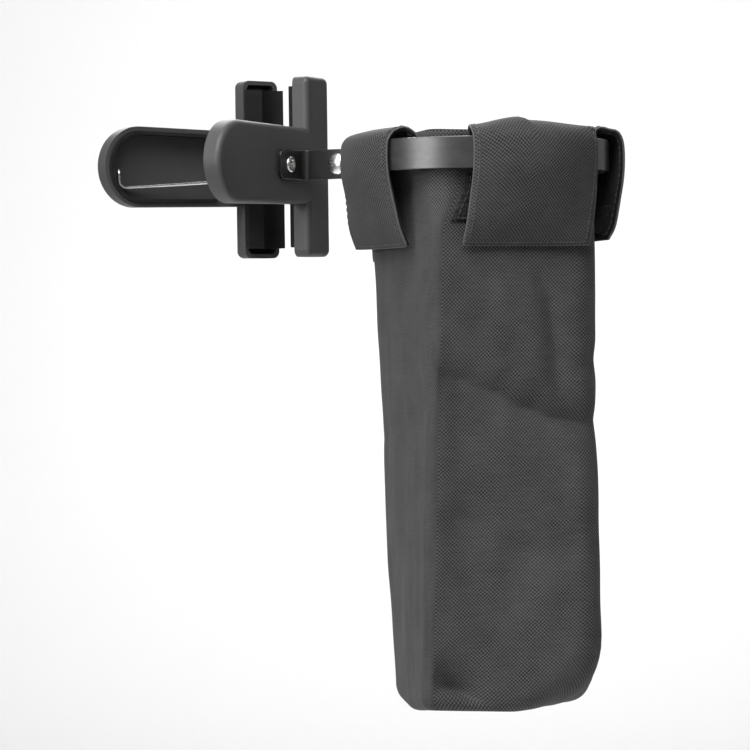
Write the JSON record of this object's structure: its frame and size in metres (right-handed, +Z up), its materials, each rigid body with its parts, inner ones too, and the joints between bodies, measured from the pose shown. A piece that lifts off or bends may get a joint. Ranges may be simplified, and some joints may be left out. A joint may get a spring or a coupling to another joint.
{
  "type": "clamp-on bag holder",
  "caption": "Open square fabric bag hung by hook-and-loop flaps in a flat steel hoop, tilting on a bent strip from a sprung two-handle stand clamp.",
  "frame": {"origin": "on the gripped tube's axis at the clamp's mid-height", "axes": "+Z up along the tube, +X out of the front jaw towards the bag, handles along -Y"},
  "size_m": [0.2307, 0.1374, 0.29],
  "materials": {
    "shell": "fine matt texture",
    "liner": "satin",
    "pad": "matt",
    "steel": "zinc plated",
    "spring_wire": "bright drawn wire",
    "nickel": "bright nickel",
    "black_strip": "semi-gloss black",
    "washer_plastic": "natural nylon",
    "hoop_metal": "satin dark grey",
    "cloth": "coarse woven polyester",
    "binding": "woven tape",
    "hook_tape": "stiff hooks",
    "loop_tape": "brushed loops"
  },
  "bodies": {
    "front_jaw": {"front_jaw_shell": "shell", "front_jaw_pad": "pad", "front_handle_liner": "liner", "hinge_pin": "steel", "hinge_pin_clip": "steel", "torsion_spring": "spring_wire", "bracket_eyelet": "nickel", "eyelet_washer": "steel"},
    "rear_jaw": {"rear_jaw_shell": "shell", "rear_jaw_pad": "pad", "rear_handle_liner": "liner"},
    "arm": {"bracket": "black_strip", "ring_rivet": "nickel", "ring_rivet_washer": "steel", "friction_washer": "washer_plastic"},
    "hoop": {"ring_band": "hoop_metal", "bag_wall": "cloth", "bag_bottom": "cloth", "bag_rim_binding": "binding", "bottom_seam_tape": "binding", "front_flap_root": "cloth", "front_loop_patch": "loop_tape", "right_flap_root": "cloth", "right_loop_patch": "loop_tape", "back_flap_root": "cloth", "back_loop_patch": "loop_tape", "left_flap_root": "cloth", "left_loop_patch": "loop_tape"},
    "front_flap": {"front_flap_panel": "cloth", "front_hook_patch": "hook_tape"},
    "right_flap": {"right_flap_panel": "cloth", "right_hook_patch": "hook_tape"},
    "back_flap": {"back_flap_panel": "cloth", "back_hook_patch": "hook_tape"},
    "left_flap": {"left_flap_panel": "cloth", "left_hook_patch": "hook_tape"}
  },
  "joints": [
    {"name": "jaw_hinge", "type": "hinge", "parent": "front_jaw", "child": "rear_jaw", "pos_m": [-0.00395, -0.0196, 0], "axis": [0, 0, 1], "range_deg": [-24, 45], "stiffness_Nm_per_rad": 0.5, "springref_deg": -51.57, "deforming": ["torsion_spring"]},
    {"name": "bracket_swivel", "type": "hinge", "parent": "front_jaw", "child": "arm", "pos_m": [0.0241, -0.033, 0], "axis": [1, 0, 0], "range_deg": [-90, 90]},
    {"name": "hoop_tilt", "type": "hinge", "parent": "arm", "child": "hoop", "pos_m": [0.0425, -0.0165, 0], "axis": [0, 1, 0], "range_deg": [-60, 35]},
    {"name": "front_flap_lift", "type": "hinge", "parent": "hoop", "child": "front_flap", "pos_m": [0.16164, -0.05564, 0.0072], "axis": [-0.6293, -0.7771, 0], "range_deg": [0, 120]},
    {"name": "right_flap_lift", "type": "hinge", "parent": "hoop", "child": "right_flap", "pos_m": [0.15244, 0.03184, 0.0072], "axis": [0.7771, -0.6293, 0], "range_deg": [0, 120]},
    {"name": "back_flap_lift", "type": "hinge", "parent": "hoop", "child": "back_flap", "pos_m": [0.06496, 0.02264, 0.0072], "axis": [0.6293, 0.7771, 0], "range_deg": [0, 120]},
    {"name": "left_flap_lift", "type": "hinge", "parent": "hoop", "child": "left_flap", "pos_m": [0.07416, -0.06484, 0.0072], "axis": [-0.7771, 0.6293, 0], "range_deg": [0, 65]}
  ]
}
